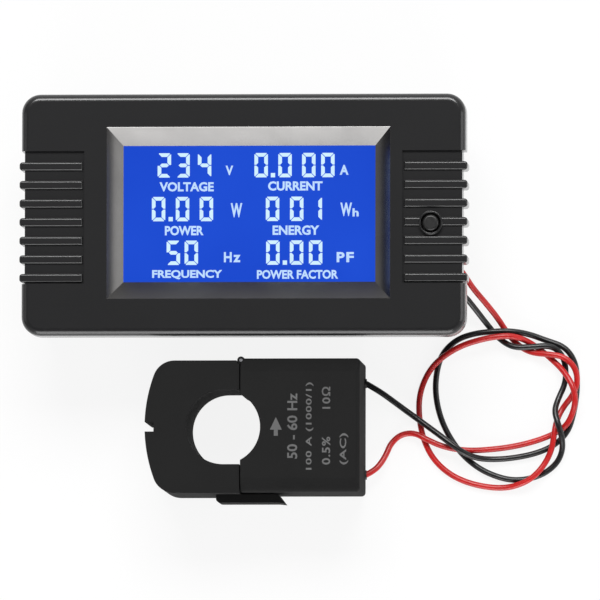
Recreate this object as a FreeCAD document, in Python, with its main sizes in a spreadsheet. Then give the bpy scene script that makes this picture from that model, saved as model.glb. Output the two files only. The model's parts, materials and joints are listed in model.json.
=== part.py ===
import FreeCAD, Part
import math
import os
import Sketcher

# Digital power meter with its split current transformer and two leads.
# The meter lies on its rear face with the display up: +X right, +Y to the top of
# the display, +Z out of the display. The origin is the middle of the rear face.

Vector = FreeCAD.Vector
document = FreeCAD.newDocument("power_meter")
sheet = document.addObject("Spreadsheet::Sheet", "Sizes")


class Measure:
    """A number together with the sheet expression that it comes from."""

    def __init__(self, value, text):
        self.value = float(value)
        self.text = text

    @staticmethod
    def of(other):
        if isinstance(other, Measure):
            return other
        return Measure(other, "(%r)" % float(other))

    def __add__(self, other):
        other = Measure.of(other)
        return Measure(self.value + other.value, "(%s + %s)" % (self.text, other.text))

    def __sub__(self, other):
        other = Measure.of(other)
        return Measure(self.value - other.value, "(%s - %s)" % (self.text, other.text))

    def __mul__(self, other):
        other = Measure.of(other)
        return Measure(self.value * other.value, "(%s * %s)" % (self.text, other.text))

    def __truediv__(self, other):
        other = Measure.of(other)
        return Measure(self.value / other.value, "(%s / %s)" % (self.text, other.text))

    def __radd__(self, other):
        return Measure.of(other) + self

    def __rsub__(self, other):
        return Measure.of(other) - self

    def __rmul__(self, other):
        return Measure.of(other) * self

    def __neg__(self):
        return Measure(-self.value, "(-1 * %s)" % self.text)


sizes = {
    "past": 1.0,  # cutters pass this far beyond what they cut

    # Front bezel
    "flange_wide": 88.9,  # bezel width
    "flange_high": 48.4,  # bezel height
    "meter_deep": 24.4,  # rear face to bezel face
    "skirt_deep": 7,  # depth of the bezel skirt
    "face_wall": 2,  # thickness of the bezel face
    "skirt_wall": 2,  # thickness of the bezel skirt
    "flange_corner": 3.8,  # corner radius of the bezel
    "flange_roll": 1.5,  # rolled edge of the bezel
    "window_x": 1.03,  # middle of the window from the middle of the bezel
    "window_y": 0.32,  # middle of the window above the middle of the bezel
    "window_wide": 50.57,  # visible width of the display
    "window_high": 27.42,  # visible height of the display
    "bevel_side": 3.12,  # width of the sloping frame at the sides
    "bevel_top": 3.5,  # width of the sloping frame at top and bottom
    "bevel_deep": 3.2,  # depth of the sloping frame
    "lip_wide": 1.6,  # flat lip round the window behind the face

    # Grip ribs at both sides of the bezel
    "rib_zone_high": 26.6,  # height of the ribbed recess
    "rib_zone_drop": 0.53,  # ribbed recess below the middle
    "rib_zone_long": 12.6,  # length of the ribbed recess on the face
    "rib_zone_deep": 0.6,  # depth of the ribbed recess
    "rib_notch": 0.66,  # depth of the ribbed recess in the side
    "rib_count": 7,  # ribs on each side
    "rib_pitch": 3.73,  # rib spacing
    "rib_low_y": -12.66,  # lowest rib from the middle
    "rib_margin": 0.3,  # rib ends before the end of the recess
    "rib_thick": 1.7,  # rib width
    "rib_proud": 0.4,  # ribs stand out past the side
    "rib_below": 0.1,  # rib tops below the face
    "rib_round": 0.38,  # rounded rib edges
    "rib_end_round": 0.6,  # rounded upright rib ends

    # Button
    "button_x": 6.95,  # button from the right edge of the bezel
    "button_y": -1.75,  # button above the middle
    "button_bore": 2.0,  # radius of the hole for the button
    "button_rim": 2.42,  # outer radius of the rim round the button
    "button_rim_proud": 0.25,  # rim height above the face
    "button_rim_edge": 0.18,  # rounded edges of the rim
    "button_cap_round": 1.62,  # radius of the button cap
    "button_proud": 0.45,  # cap height above the face
    "button_travel": 0.3,  # press travel
    "button_skirt_round": 2.9,  # radius of the collar that keeps the button in
    "button_skirt_thick": 0.8,  # thickness of that collar
    "switch_side": 5.2,  # side of the switch body
    "switch_high": 3.6,  # height of the switch body
    "plunger_round": 1.4,  # radius of the switch plunger
    "plunger_long": 1.5,  # length of the switch plunger
    "switch_clear": 0.1,  # clearance round and below the plunger
    "button_dome": 0.5,  # rounded edge of the cap

    # Rear housing
    "fit_gap": 0.2,  # clearance between housing and skirt
    "housing_wall": 1.8,  # wall of the rear housing
    "housing_corner": 2.4,  # corner radius of the rear housing
    "bay_long": 11.2,  # terminal bay along X
    "bay_high": 10,  # terminal bay along Z
    "bay_low_y": -19,  # lower end of the terminal bay
    "bay_top_y": 7,  # upper end of the terminal bay
    "bay_wall": 1.5,  # wall round the terminal bay
    "wedge_long": 9,  # length of a panel snap wedge
    "wedge_high": 5,  # height of a panel snap wedge
    "wedge_proud": 0.7,  # how far a panel snap wedge stands out
    "wedge_x": 22,  # snap wedge from the middle
    "panel_thick": 2.5,  # thickness of the panel that the wedges hold

    # Case screws
    "screw_left_x": 7.25,  # left pair of case screws from the left edge of the bezel
    "screw_right_x": 17.05,  # right pair of case screws from the right edge of the bezel
    "screw_y": 6.1,  # case screws from the top and bottom edges of the bezel
    "boss_round": 2.4,  # radius of a screw boss
    "post_round": 1.6,  # radius of a screw post
    "screw_shank": 1.0,  # radius of a case screw
    "screw_head": 1.8,  # radius of a case screw head
    "screw_head_high": 1.4,  # height of a case screw head
    "screw_sink": 6,  # depth of the screw head recess
    "screw_gap": 0.08,  # clearance round a case screw
    "screw_long": 10,  # length of a case screw shank
    "screw_slot": 0.6,  # width and depth of a screw slot
    "cross_long": 2.5,  # length of a cross slot

    # Circuit board and what it carries
    "board_low": 12,  # underside of the board above the rear face
    "board_thick": 1.6,  # board thickness
    "board_gap": 0.4,  # clearance round the board
    "glass_thick": 1.1,  # thickness of the display glass
    "glass_border": 2.0,  # glass past the visible area
    "light_thick": 3.4,  # thickness of the backlight
    "leg_round": 0.8,  # radius of a backlight leg
    "leg_inset": 2.5,  # backlight leg from the corner
    "pin_count": 12,  # display pins
    "pin_pitch": 2.54,  # display pin spacing
    "pin_side": 0.5,  # display pin side
    "pin_inset": 0.9,  # pins from the edge of the backlight
    "chip_side": 7.6,  # side of the metering chip
    "chip_thick": 1.6,  # thickness of the metering chip
    "can_round": 4.0,  # radius of the supply capacitor
    "can_high": 8.6,  # height of the supply capacitor
    "film_long": 13,  # length of the film capacitor
    "film_wide": 6,  # width of the film capacitor
    "film_high": 8.8,  # height of the film capacitor
    "resistor_round": 1.2,  # radius of a divider resistor
    "resistor_long": 7,  # length of a divider resistor
    "resistor_pitch": 3.4,  # spacing of the divider resistors
    "chip_from_screw": 6.4,  # metering chip from the left screws
    "can_x": -22,  # supply capacitor
    "can_y": 9,  # supply capacitor above the middle
    "can_edge": 0.5,  # rounded edges of the capacitors
    "film_x": 6,  # film capacitor
    "film_y": 8,  # film capacitor above the middle
    "resistor_x": 8,  # divider resistors
    "resistor_y": -8,  # divider resistors above the middle

    # Terminals
    "terminal_count": 4,  # terminals
    "terminal_pitch": 5.08,  # terminal spacing
    "terminal_first_y": -13.7,  # first terminal above the middle
    "terminal_deep": 7.35,  # depth of the terminal block along X
    "terminal_low": 0.9,  # terminal block above the rear face
    "terminal_hole": 1.2,  # radius of a wire hole
    "terminal_hole_deep": 5.4,  # depth of a wire hole
    "terminal_side": 2.6,  # block past the outer terminals
    "terminal_edge": 0.65,  # bevelled front edge of the terminal block
    "terminal_wire_z": 6.1,  # wire holes above the rear face
    "terminal_screw_round": 1.5,  # radius of a terminal screw
    "terminal_screw_high": 2.6,  # height of a terminal screw
    "terminal_screw_in": 3.6,  # terminal screw behind the front of the block
    "terminal_screw_gap": 0.15,  # clearance round a terminal screw

    # Leads
    "lead_round": 0.6,  # radius of a lead
    "core_round": 0.4,  # radius of the bare end of a lead
    "core_long": 5,  # length of the bare end of a lead
    "lead_start": 0.3,  # insulation starts this far from the terminal block

    # Current transformer
    "ct_apart": 4.33,  # transformer below the bezel
    "jaw_drop": 0.4,  # jaw sits lower than the body half
    "core_drop": 0.35,  # core sits lower than the middle of the body half
    "bore_drop": 0.45,  # opening sits lower than the middle of the body half
    "part_x": -0.72,  # parting line of the transformer
    "ct_right_x": 23.18,  # right end of the transformer
    "ct_deep": 22,  # depth of the transformer
    "ct_high": 26.74,  # height of the body half
    "ct_round": 2.8,  # rounded long edges of the body half
    "ct_end_round": 0.8,  # rounded end of the body half
    "part_round": 0.25,  # rounded edge at the parting line
    "ct_wall": 1.3,  # wall of the transformer housings
    "ct_cover": 1.6,  # thickness of the back cover
    "bore_x": -4.15,  # middle of the conductor opening
    "bore_round": 7.45,  # radius of the conductor opening
    "part_gap": 0.2,  # gap at the parting line
    "jaw_left_x": -19.85,  # left end of the jaw
    "jaw_high": 26.52,  # height of the jaw
    "jaw_below": 0.4,  # jaw face below the body face
    "jaw_bow": 30,  # radius of the curved end of the jaw
    "jaw_round": 4.4,  # rounded corners of the jaw
    "jaw_notch_high": 1.9,  # height of the notch in the end of the jaw
    "jaw_notch_deep": 1.78,  # depth of the notch in the end of the jaw
    "hinge_x": -0.63,  # hinge pin
    "hinge_up": 12.95,  # hinge pin above the middle of the transformer
    "knuckle_round": 0.75,  # radius of a hinge knuckle
    "hinge_pin": 0.35,  # radius of the hinge pin
    "hinge_gap": 0.12,  # clearance in the hinge
    "knuckle_long": 7,  # length of the middle knuckle
    "knuckle_end": 1.4,  # knuckles and pin end this far from the faces
    "latch_root_x": -5.93,  # left end of the latch tongue
    "latch_tip_x": 7.85,  # tip of the latch tongue
    "latch_neck_x": 6.45,  # latch barb starts here
    "latch_thick": 1.68,  # thickness of the latch tongue
    "latch_wide": 9,  # width of the latch tongue along Z
    "latch_barb": 0.15,  # barb stands out below the tongue
    "pin_fit": 0.03,  # clearance of the hinge pin
    "burden_long": 5,  # length of the burden resistor
    "burden_up": 3.5,  # burden resistor above the middle
    "latch_gap": 0.25,  # clearance between tongue and body
    "ct_core_wall": 2.6,  # thickness of the core
    "core_gap": 0.2,  # clearance round the core
    "core_deep": 12,  # depth of the core
    "leg_x": 15,  # back leg of the core
    "coil_wall": 0.8,  # bobbin wall
    "coil_round": 2.2,  # thickness of the winding
    "coil_inset": 0.22,  # winding below the rims of the bobbin
    "coil_long": 12,  # length of the winding
    "black_exit_up": 9.2,  # black lead above the middle of the transformer
    "red_exit_up": -9.2,  # red lead above the middle of the transformer
    "exit_z": 3.2,  # lead exits above the back
    "bushing_round": 1.0,  # radius of a lead bushing
    "bushing_long": 1.9,  # length of a lead bushing
    "bushing_proud": 0.4,  # lead bushing stands out
}
for row, (alias, value) in enumerate(sizes.items(), 1):
    sheet.set("A%d" % row, alias)
    sheet.set("B%d" % row, str(value))
    sheet.setAlias("B%d" % row, alias)
document.recompute()
s = type("Sizes", (), {alias: Measure(value, "Sizes." + alias) for alias, value in sizes.items()})


# Building blocks

def origin_plane(body, role):
    for feature in body.Origin.OriginFeatures:
        if feature.Role == role:
            return feature
    raise RuntimeError("no plane " + role)


def bind(thing, field, measure):
    thing.setExpression(field, Measure.of(measure).text)


def pin_point(sketch, index, end, point):
    for kind, along in (("DistanceX", point[0]), ("DistanceY", point[1])):
        along = Measure.of(along)
        mark = sketch.addConstraint(Sketcher.Constraint(kind, -1, 1, index, end, along.value))
        bind(sketch, "Constraints[%d]" % mark, along)


def draw_polygon(sketch, corners):
    first = sketch.GeometryCount
    flat = [Vector(Measure.of(x).value, Measure.of(y).value, 0) for x, y in corners]
    count = len(flat)
    for turn in range(count):
        sketch.addGeometry(Part.LineSegment(flat[turn], flat[(turn + 1) % count]), False)
    for turn in range(count):
        after = first + (turn + 1) % count
        sketch.addConstraint(Sketcher.Constraint("Coincident", first + turn, 2, after, 1))
    for turn in range(count):
        pin_point(sketch, first + turn, 1, corners[turn])


def draw_circle(sketch, x, y, radius):
    radius = Measure.of(radius)
    centre = Vector(Measure.of(x).value, Measure.of(y).value, 0)
    index = sketch.addGeometry(Part.Circle(centre, Vector(0, 0, 1), radius.value), False)
    pin_point(sketch, index, 3, (x, y))
    mark = sketch.addConstraint(Sketcher.Constraint("Radius", index, radius.value))
    bind(sketch, "Constraints[%d]" % mark, radius)


def box(low_x, low_y, high_x, high_y):
    return [(low_x, low_y), (high_x, low_y), (high_x, high_y), (low_x, high_y)]


def box_about(x, y, wide, high):
    return box(x - wide / 2, y - high / 2, x + wide / 2, y + high / 2)


def disc(x, y, radius):
    return ("disc", x, y, radius)


def new_body(name):
    body = document.addObject("PartDesign::Body", name)
    body.Label = name
    return body


def new_sketch(body, name, role, level, outlines):
    sketch = body.newObject("Sketcher::SketchObject", name)
    sketch.AttachmentSupport = [(origin_plane(body, role), "")]
    sketch.MapMode = "FlatFace"
    bind(sketch, "AttachmentOffset.Base.z", level)
    for outline in outlines:
        if outline[0] == "disc":
            draw_circle(sketch, *outline[1:])
        else:
            draw_polygon(sketch, outline)
    return sketch


def add(body, name, level, outlines, length, role="XY_Plane", both=False):
    sketch = new_sketch(body, name + "_outline", role, level, outlines)
    feature = body.newObject("PartDesign::Pad", name)
    feature.Profile = sketch
    feature.Midplane = both
    bind(feature, "Length", length)
    document.recompute()
    return feature


def cut(body, name, level, outlines, length, role="XY_Plane", flip=False, both=False):
    before = body.Shape.Volume
    sketch = new_sketch(body, name + "_outline", role, level, outlines)
    feature = body.newObject("PartDesign::Pocket", name)
    feature.Profile = sketch
    feature.Reversed = flip
    feature.Midplane = both
    bind(feature, "Length", length)
    document.recompute()
    if body.Shape.Volume > before - 1e-6:
        raise RuntimeError(name + " cuts nothing")
    return feature


def soften(body, name, kind, field, amount, wanted):
    base = body.Tip
    chosen = []
    for number, edge in enumerate(base.Shape.Edges, 1):
        if wanted(edge):
            chosen.append("Edge%d" % number)
    feature = body.newObject("PartDesign::" + kind, name)
    feature.Base = (base, chosen)
    bind(feature, field, amount)
    document.recompute()
    return feature


def fillet(body, name, radius, wanted):
    return soften(body, name, "Fillet", "Radius", radius, wanted)


def chamfer(body, name, width, wanted):
    return soften(body, name, "Chamfer", "Size", width, wanted)


def near(one, other):
    return abs(one - Measure.of(other).value) < 1e-4


def upright(edge):
    bounds = edge.BoundBox
    return bounds.XLength < 1e-4 and bounds.YLength < 1e-4


def level_at(edge, height):
    bounds = edge.BoundBox
    return near(bounds.ZMin, height) and near(bounds.ZMax, height)


def corner_at(edge, x, y):
    return upright(edge) and near(edge.CenterOfMass.x, x) and near(edge.CenterOfMass.y, y)


def end_loop(edge, x):
    bounds = edge.BoundBox
    return near(bounds.XMin, x) and near(bounds.XMax, x) and bounds.ZMax > 1e-4


def spin(body, name, outline):
    sketch = new_sketch(body, name + "_outline", "XZ_Plane", 0, [outline])
    feature = body.newObject("PartDesign::Revolution", name)
    feature.Profile = sketch
    feature.ReferenceAxis = (sketch, ["V_Axis"])
    feature.Angle = 360
    document.recompute()
    return feature


def place(thing, x, y, z):
    for letter, along in (("x", x), ("y", y), ("z", z)):
        bind(thing, "Placement.Base." + letter, along)


# Places shared by several pieces
half_wide = s.flange_wide / 2
half_high = s.flange_high / 2
face_back = s.meter_deep - s.face_wall
housing_x = half_wide - s.skirt_wall - s.fit_gap
housing_y = half_high - s.skirt_wall - s.fit_gap
board_top = s.board_low + s.board_thick
glass_front = s.meter_deep - s.bevel_deep
light_front = glass_front - s.glass_thick
light_back = light_front - s.light_thick
glass_wide = s.window_wide + 2 * s.glass_border
glass_high = s.window_high + 2 * s.glass_border
bay_x = housing_x - s.bay_long
terminal_face = bay_x + s.terminal_deep
terminal_screw_x = terminal_face - s.terminal_screw_in
button_low = board_top + s.switch_high + s.plunger_long
button_x = half_wide - s.button_x
screw_left_x = s.screw_left_x - half_wide
screw_right_x = half_wide - s.screw_right_x
screw_top_y = half_high - s.screw_y
screw_places = [(x, y) for x in (screw_left_x, screw_right_x) for y in (screw_top_y, -screw_top_y)]
terminal_rows = [s.terminal_first_y + turn * s.terminal_pitch
                 for turn in range(int(s.terminal_count.value))]
ct_mid_y = -half_high - s.ct_apart - s.ct_high / 2
ct_mid_z = s.ct_deep / 2
bore_y = ct_mid_y - s.bore_drop
core_y = ct_mid_y - s.core_drop
jaw_y = ct_mid_y - s.jaw_drop
jaw_top = jaw_y + s.jaw_high / 2
jaw_bottom = jaw_y - s.jaw_high / 2
jaw_face_x = s.part_x - s.part_gap
body_top = ct_mid_y + s.ct_high / 2
body_bottom = ct_mid_y - s.ct_high / 2
hinge_y = ct_mid_y + s.hinge_up
core_in = s.bore_round + s.ct_wall + s.core_gap
core_out = core_in + s.ct_core_wall
leg_out = s.leg_x + s.ct_core_wall
tube_out = s.core_gap + s.coil_wall
rim_out = tube_out + s.coil_round
bobbin_left = s.leg_x - rim_out
room_x = s.bore_x + core_in
exit_rows = [ct_mid_y + s.black_exit_up, ct_mid_y + s.red_exit_up]


def front_bezel():
    body = new_body("front_bezel")
    low = s.meter_deep - s.skirt_deep
    add(body, "bezel_block", low, [box_about(0, 0, s.flange_wide, s.flange_high)], s.skirt_deep)
    fillet(body, "bezel_corners", s.flange_corner, upright)
    fillet(body, "bezel_roll", s.flange_roll, lambda edge: level_at(edge, s.meter_deep))
    inside = box_about(0, 0, s.flange_wide - 2 * s.skirt_wall, s.flange_high - 2 * s.skirt_wall)
    cut(body, "bezel_inside", face_back, [inside], s.skirt_deep - s.face_wall)
    inner_x = half_wide.value - s.skirt_wall.value
    fillet(body, "bezel_inside_corners", s.housing_corner,
           lambda edge: upright(edge) and near(abs(edge.CenterOfMass.x), inner_x))
    lip = box_about(s.window_x, s.window_y,
                    s.window_wide + 2 * (s.bevel_side + s.lip_wide),
                    s.window_high + 2 * (s.bevel_top + s.lip_wide))
    add(body, "window_lip", glass_front, [lip], s.bevel_deep - s.face_wall / 2)
    outer = box_about(s.window_x, s.window_y, s.window_wide + 2 * s.bevel_side,
                      s.window_high + 2 * s.bevel_top)
    inner = box_about(s.window_x, s.window_y, s.window_wide, s.window_high)
    outer_sketch = new_sketch(body, "window_face_outline", "XY_Plane", s.meter_deep, [outer])
    inner_sketch = new_sketch(body, "window_back_outline", "XY_Plane", glass_front, [inner])
    window = body.newObject("PartDesign::SubtractiveLoft", "window_bevel")
    window.Profile = outer_sketch
    window.Sections = [inner_sketch]
    window.Ruled = True
    document.recompute()
    add_grip_ribs(body)
    posts = [disc(x, y, s.post_round) for x, y in screw_places]
    add(body, "screw_posts", board_top, posts, face_back - board_top)
    pilots = [disc(x, y, s.screw_shank + s.screw_gap) for x, y in screw_places]
    cut(body, "screw_pilots", board_top, pilots, face_back - board_top, flip=True)
    rim = disc(button_x, s.button_y, s.button_rim)
    add(body, "button_rim", face_back, [rim], s.face_wall + s.button_rim_proud)
    bore = disc(button_x, s.button_y, s.button_bore)
    rim_top = s.meter_deep + s.button_rim_proud
    cut(body, "button_bore", rim_top, [bore], s.face_wall + s.button_rim_proud)
    fillet(body, "button_rim_edges", s.button_rim_edge, lambda edge: level_at(edge, rim_top))
    return body


def add_grip_ribs(body):
    middle = -s.rib_zone_drop
    low = middle - s.rib_zone_high / 2
    high = middle + s.rib_zone_high / 2
    skirt_low = s.meter_deep - s.skirt_deep
    recess_x = half_wide - s.rib_zone_long
    side_x = half_wide - s.rib_notch
    past_x = half_wide + s.past
    face_zones = [box(-past_x, low, -recess_x, high), box(recess_x, low, past_x, high)]
    side_zones = [box(-past_x, low, -side_x, high), box(side_x, low, past_x, high)]
    cut(body, "rib_recess", s.meter_deep, face_zones, s.rib_zone_deep)
    cut(body, "rib_notch", s.meter_deep, side_zones, s.skirt_deep)
    rib_low = s.rib_low_y - s.rib_thick / 2
    rib_high = s.rib_low_y + s.rib_thick / 2
    rib_in = recess_x + s.rib_margin
    rib_out = half_wide + s.rib_proud
    wall_x = half_wide - s.skirt_wall / 2
    face_bars = [box(-rib_out, rib_low, -rib_in, rib_high), box(rib_in, rib_low, rib_out, rib_high)]
    side_bars = [box(-rib_out, rib_low, -wall_x, rib_high), box(wall_x, rib_low, rib_out, rib_high)]
    bar_low = s.meter_deep - s.rib_zone_deep - s.face_wall / 4
    face_rib = add(body, "rib_on_face", bar_low, face_bars, s.meter_deep - s.rib_below - bar_low)
    side_rib = add(body, "rib_on_side", skirt_low, side_bars, s.skirt_deep - s.rib_below)
    row = body.newObject("PartDesign::LinearPattern", "rib_row")
    row.Originals = [face_rib, side_rib]
    row.Direction = (face_rib.Profile[0], ["V_Axis"])
    bind(row, "Length", s.rib_pitch * (s.rib_count - 1))
    bind(row, "Occurrences", s.rib_count)
    body.Tip = row
    document.recompute()
    top = s.meter_deep - s.rib_below
    fillet(body, "rib_ends", s.rib_end_round,
           lambda edge: upright(edge) and near(abs(edge.CenterOfMass.x), rib_out))
    fillet(body, "rib_edges", s.rib_round,
           lambda edge: level_at(edge, top) and abs(edge.CenterOfMass.x) > recess_x.value)


def rear_housing():
    body = new_body("rear_housing")
    wall = s.housing_wall
    add(body, "housing_block", 0, [box_about(0, 0, 2 * housing_x, 2 * housing_y)], face_back)
    fillet(body, "housing_corners", s.housing_corner, upright)
    cavity = box(wall - housing_x, wall - housing_y, housing_x - wall, housing_y - wall)
    deep_end = bay_x - s.bay_wall
    upper_floor = s.bay_high + s.bay_wall
    cut(body, "cavity_upper", face_back, [cavity], face_back - upper_floor)
    cavity_left = box(wall - housing_x, wall - housing_y, deep_end, housing_y - wall)
    cut(body, "cavity_lower", upper_floor, [cavity_left], upper_floor - wall)
    bay = box(bay_x, s.bay_low_y, housing_x + s.past, s.bay_top_y)
    cut(body, "terminal_bay", 0, [bay], s.bay_high, flip=True)
    bosses = [disc(x, y, s.boss_round) for x, y in screw_places]
    add(body, "screw_bosses", wall / 2, bosses, s.board_low - wall / 2)
    holes = [disc(x, y, s.screw_shank + s.screw_gap) for x, y in screw_places]
    cut(body, "screw_holes", 0, holes, s.board_low, flip=True)
    heads = [disc(x, y, s.screw_head + s.screw_gap) for x, y in screw_places]
    cut(body, "screw_recesses", 0, heads, s.screw_sink, flip=True)
    panel_top = s.meter_deep - s.skirt_deep - s.panel_thick
    panel_low = panel_top - s.wedge_high
    root = housing_y - wall / 2
    tip = housing_y + s.wedge_proud
    upper = [(root, panel_low), (housing_y, panel_low), (tip, panel_top), (root, panel_top)]
    lower = [(-y, z) for y, z in upper]
    for name, x in (("wedges_left", -s.wedge_x), ("wedges_right", s.wedge_x)):
        add(body, name, x, [upper, lower], s.wedge_long, role="YZ_Plane", both=True)
    return body


def circuit_board():
    body = new_body("circuit_board")
    edge = s.housing_wall + s.board_gap
    outline = box(edge - housing_x, edge - housing_y, housing_x - edge, housing_y - edge)
    add(body, "board_plate", s.board_low, [outline], s.board_thick)
    holes = [disc(x, y, s.screw_shank + s.screw_gap) for x, y in screw_places]
    cut(body, "board_holes", board_top, holes, s.board_thick)
    return body


def display_glass():
    body = new_body("display_glass")
    outline = box_about(s.window_x, s.window_y, glass_wide, glass_high)
    add(body, "glass_plate", light_front, [outline], s.glass_thick)
    return body


def display_backlight():
    body = new_body("display_backlight")
    outline = box_about(s.window_x, s.window_y, glass_wide, glass_high)
    add(body, "light_plate", light_back, [outline], s.light_thick)
    legs = []
    for side_x in (-1, 1):
        for side_y in (-1, 1):
            x = s.window_x + side_x * (glass_wide / 2 - s.leg_inset)
            y = s.window_y + side_y * (glass_high / 2 - s.leg_inset)
            legs.append(disc(x, y, s.leg_round))
    add(body, "light_legs", board_top, legs, light_back - board_top)
    return body


def display_pins():
    body = new_body("display_pins")
    count = int(s.pin_count.value)
    start = s.window_x - s.pin_pitch * (count - 1) / 2
    y = s.window_y - glass_high / 2 + s.pin_inset
    pins = [box_about(start + s.pin_pitch * turn, y, s.pin_side, s.pin_side) for turn in range(count)]
    add(body, "pin_row", board_top, pins, light_back - board_top)
    return body


def button_cap():
    body = new_body("button_cap")
    skirt_high = face_back
    skirt_low = skirt_high - s.button_skirt_thick
    cap_top = s.meter_deep + s.button_proud
    outline = [(0, button_low), (s.plunger_round, button_low), (s.plunger_round, skirt_low),
               (s.button_skirt_round, skirt_low), (s.button_skirt_round, skirt_high),
               (s.button_cap_round, skirt_high), (s.button_cap_round, cap_top), (0, cap_top)]
    spin(body, "button_turning", outline)
    fillet(body, "button_dome", s.button_dome, lambda edge: level_at(edge, cap_top))
    place(body, button_x, s.button_y, 0)
    return body


def button_switch():
    body = new_body("button_switch")
    side = s.switch_side
    add(body, "switch_block", board_top, [box_about(button_x, s.button_y, side, side)], s.switch_high)
    well = disc(button_x, s.button_y, s.plunger_round + s.switch_clear)
    cut(body, "switch_well", board_top + s.switch_high, [well], s.button_travel + s.switch_clear)
    return body


def button_plunger():
    body = new_body("button_plunger")
    low = board_top + s.switch_high
    add(body, "plunger_post", low, [disc(button_x, s.button_y, s.plunger_round)], button_low - low)
    return body


def metering_chip():
    body = new_body("metering_chip")
    x = screw_left_x + s.chip_from_screw
    add(body, "chip_block", board_top, [box_about(x, 0, s.chip_side, s.chip_side)], s.chip_thick)
    return body


def supply_capacitor():
    body = new_body("supply_capacitor")
    low = s.board_low - s.can_high
    add(body, "can", low, [disc(s.can_x, s.can_y, s.can_round)], s.can_high)
    chamfer(body, "can_edge", s.can_edge, lambda edge: level_at(edge, low))
    return body


def film_capacitor():
    body = new_body("film_capacitor")
    outline = box_about(s.film_x, s.film_y, s.film_long, s.film_wide)
    add(body, "film_block", s.board_low - s.film_high, [outline], s.film_high)
    fillet(body, "film_edges", s.can_edge, upright)
    return body


def divider_resistors():
    body = new_body("divider_resistors")
    z = s.board_low - s.resistor_round
    rows = [disc(s.resistor_y + s.resistor_pitch * turn, z, s.resistor_round) for turn in (-1, 0, 1)]
    add(body, "resistor_rods", s.resistor_x, rows, s.resistor_long, role="YZ_Plane", both=True)
    return body


def terminal_block():
    body = new_body("terminal_block")
    low_y = terminal_rows[0] - s.terminal_side
    top_y = terminal_rows[-1] + s.terminal_side
    add(body, "block", s.terminal_low, [box(bay_x, low_y, terminal_face, top_y)],
        s.bay_high - s.terminal_low)
    chamfer(body, "block_edge", s.terminal_edge,
            lambda edge: level_at(edge, s.terminal_low) and near(edge.CenterOfMass.x, terminal_face))
    holes = [disc(y, s.terminal_wire_z, s.terminal_hole) for y in terminal_rows]
    cut(body, "wire_holes", terminal_face, holes, s.terminal_hole_deep, role="YZ_Plane")
    well = s.terminal_screw_round + s.terminal_screw_gap
    wells = [disc(terminal_screw_x, y, well) for y in terminal_rows]
    cut(body, "screw_wells", s.terminal_low, wells, s.terminal_wire_z - s.terminal_low, flip=True)
    return body


def terminal_screws():
    body = new_body("terminal_screws")
    tip = s.terminal_wire_z - s.core_round
    rods = [disc(terminal_screw_x, y, s.terminal_screw_round) for y in terminal_rows]
    add(body, "screw_rods", tip - s.terminal_screw_high, rods, s.terminal_screw_high)
    slot_long = 2 * (s.terminal_screw_round + s.past)
    slots = [box_about(terminal_screw_x, y, slot_long, s.screw_slot) for y in terminal_rows]
    cut(body, "screw_slots", tip - s.terminal_screw_high, slots, s.screw_slot, flip=True)
    return body


def case_screws():
    body = new_body("case_screws")
    heads = [disc(x, y, s.screw_head) for x, y in screw_places]
    shanks = [disc(x, y, s.screw_shank) for x, y in screw_places]
    head_low = s.screw_sink - s.screw_head_high
    add(body, "heads", head_low, heads, s.screw_head_high)
    add(body, "shanks", s.screw_sink - s.screw_head_high / 2, shanks, s.screw_long)
    along = [box_about(x, y, s.cross_long, s.screw_slot) for x, y in screw_places]
    across = [box_about(x, y, s.screw_slot, s.cross_long) for x, y in screw_places]
    cut(body, "slots_along", head_low, along, s.screw_slot, flip=True)
    cut(body, "slots_across", head_low, across, s.screw_slot, flip=True)
    return body


def lead_cores():
    body = new_body("lead_cores")
    rows = [disc(y, s.terminal_wire_z, s.core_round) for y in terminal_rows[:2]]
    start = terminal_face + s.lead_start
    add(body, "bare_ends", start - s.core_long, rows, s.core_long, role="YZ_Plane")
    return body


def ct_body_case():
    body = new_body("ct_body_case")
    add(body, "body_block", 0, [box(s.part_x, body_bottom, s.ct_right_x, body_top)], s.ct_deep)
    long_edge = body_top.value - ct_mid_y.value
    fillet(body, "body_long_edges", s.ct_round,
           lambda edge: level_at(edge, s.ct_deep)
           and near(abs(edge.CenterOfMass.y - ct_mid_y.value), long_edge))
    fillet(body, "body_end", s.ct_end_round, lambda edge: end_loop(edge, s.ct_right_x))
    fillet(body, "body_parting", s.part_round, lambda edge: end_loop(edge, s.part_x))
    cut(body, "body_bore", s.ct_deep, [disc(s.bore_x, bore_y, s.bore_round)], s.ct_deep)
    room_low = core_y - core_out - s.core_gap
    room_top = core_y + core_out + s.core_gap
    room = box(room_x, room_low, s.ct_right_x - s.ct_wall, room_top)
    cut(body, "coil_room", 0, [room], s.ct_deep - s.ct_wall, flip=True)
    arm_left = s.part_x - s.past
    arm_right = room_x + s.past
    arms = [box(arm_left, core_y + core_in - s.core_gap, arm_right, room_top),
            box(arm_left, room_low, arm_right, core_y - core_in + s.core_gap)]
    cut(body, "core_channels", ct_mid_z, arms, s.core_deep + 2 * s.core_gap, both=True)
    exits = [disc(y, s.exit_z, s.bushing_round) for y in exit_rows]
    cut(body, "lead_holes", s.ct_right_x, exits, s.ct_wall + s.past, role="YZ_Plane")
    side_low = ct_mid_z + s.knuckle_long / 2 + s.hinge_gap
    side_long = s.ct_deep - s.knuckle_end - side_low
    end_low = s.ct_deep - side_low - side_long
    knuckle = disc(s.hinge_x, hinge_y, s.knuckle_round)
    add(body, "upper_knuckle", side_low, [knuckle], side_long)
    add(body, "lower_knuckle", end_low, [knuckle], side_long)
    relief = disc(s.hinge_x, hinge_y, s.knuckle_round + s.hinge_gap)
    cut(body, "knuckle_relief", ct_mid_z, [relief], s.knuckle_long + 2 * s.hinge_gap, both=True)
    cut(body, "pin_hole", s.ct_deep, [disc(s.hinge_x, hinge_y, s.hinge_pin)], s.ct_deep)
    return body


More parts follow.
